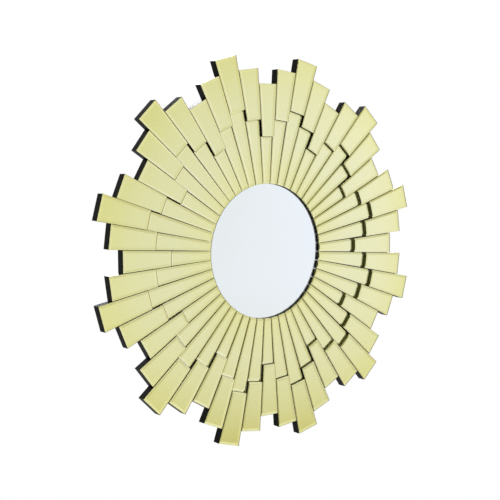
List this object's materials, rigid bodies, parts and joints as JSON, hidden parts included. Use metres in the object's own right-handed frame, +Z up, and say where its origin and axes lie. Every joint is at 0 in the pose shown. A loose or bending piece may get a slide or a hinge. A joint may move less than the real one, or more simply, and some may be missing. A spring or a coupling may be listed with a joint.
{
  "type": "sunburst wall mirror",
  "caption": "Round wall mirror in a sunburst frame of bevelled gold-tinted mirror tiles of mixed lengths, stepped back toward the middle on a black board.",
  "frame": {"origin": "centre of the backing board's flat back, on the wall", "axes": "+Z up, +X to the right as seen from the front, -Y out of the front into the room, +Y into the wall"},
  "size_m": [0.786, 0.0293, 0.786],
  "materials": {
    "black_board": "satin black paint on fibreboard",
    "gold_mirror": "champagne-gold tinted mirror",
    "silver_mirror": "clear silver mirror",
    "plated_steel": "zinc-plated"
  },
  "bodies": {
    "root": {"backing_board": "black_board", "carrier_board": "black_board", "centre_mirror": "silver_mirror", "inner_tile_ring": "gold_mirror", "outer_tile_01": "gold_mirror", "outer_tile_02": "gold_mirror", "outer_tile_03": "gold_mirror", "outer_tile_04": "gold_mirror", "outer_tile_05": "gold_mirror", "outer_tile_06": "gold_mirror", "outer_tile_07": "gold_mirror", "outer_tile_08": "gold_mirror", "outer_tile_09": "gold_mirror", "outer_tile_10": "gold_mirror", "outer_tile_11": "gold_mirror", "outer_tile_12": "gold_mirror", "outer_tile_13": "gold_mirror", "outer_tile_14": "gold_mirror", "outer_tile_15": "gold_mirror", "outer_tile_16": "gold_mirror", "outer_tile_17": "gold_mirror", "outer_tile_18": "gold_mirror", "outer_tile_19": "gold_mirror", "outer_tile_20": "gold_mirror", "outer_tile_21": "gold_mirror", "outer_tile_22": "gold_mirror", "outer_tile_23": "gold_mirror", "outer_tile_24": "gold_mirror", "outer_tile_25": "gold_mirror", "outer_tile_26": "gold_mirror", "outer_tile_27": "gold_mirror", "outer_tile_28": "gold_mirror", "outer_tile_29": "gold_mirror", "outer_tile_30": "gold_mirror", "outer_tile_31": "gold_mirror", "outer_tile_32": "gold_mirror", "outer_tile_33": "gold_mirror", "outer_tile_34": "gold_mirror", "outer_tile_35": "gold_mirror", "outer_tile_36": "gold_mirror", "outer_tile_37": "gold_mirror", "outer_tile_38": "gold_mirror", "outer_tile_39": "gold_mirror", "outer_tile_40": "gold_mirror", "outer_tile_41": "gold_mirror", "outer_tile_42": "gold_mirror", "outer_tile_43": "gold_mirror", "outer_tile_44": "gold_mirror", "outer_tile_45": "gold_mirror", "outer_tile_46": "gold_mirror", "outer_tile_47": "gold_mirror", "outer_tile_48": "gold_mirror", "hanger_plate_left": "plated_steel", "hanger_plate_right": "plated_steel", "hanger_screw_left_lower": "plated_steel", "hanger_screw_left_upper": "plated_steel", "hanger_screw_right_lower": "plated_steel", "hanger_screw_right_upper": "plated_steel"}
  },
  "joints": []
}
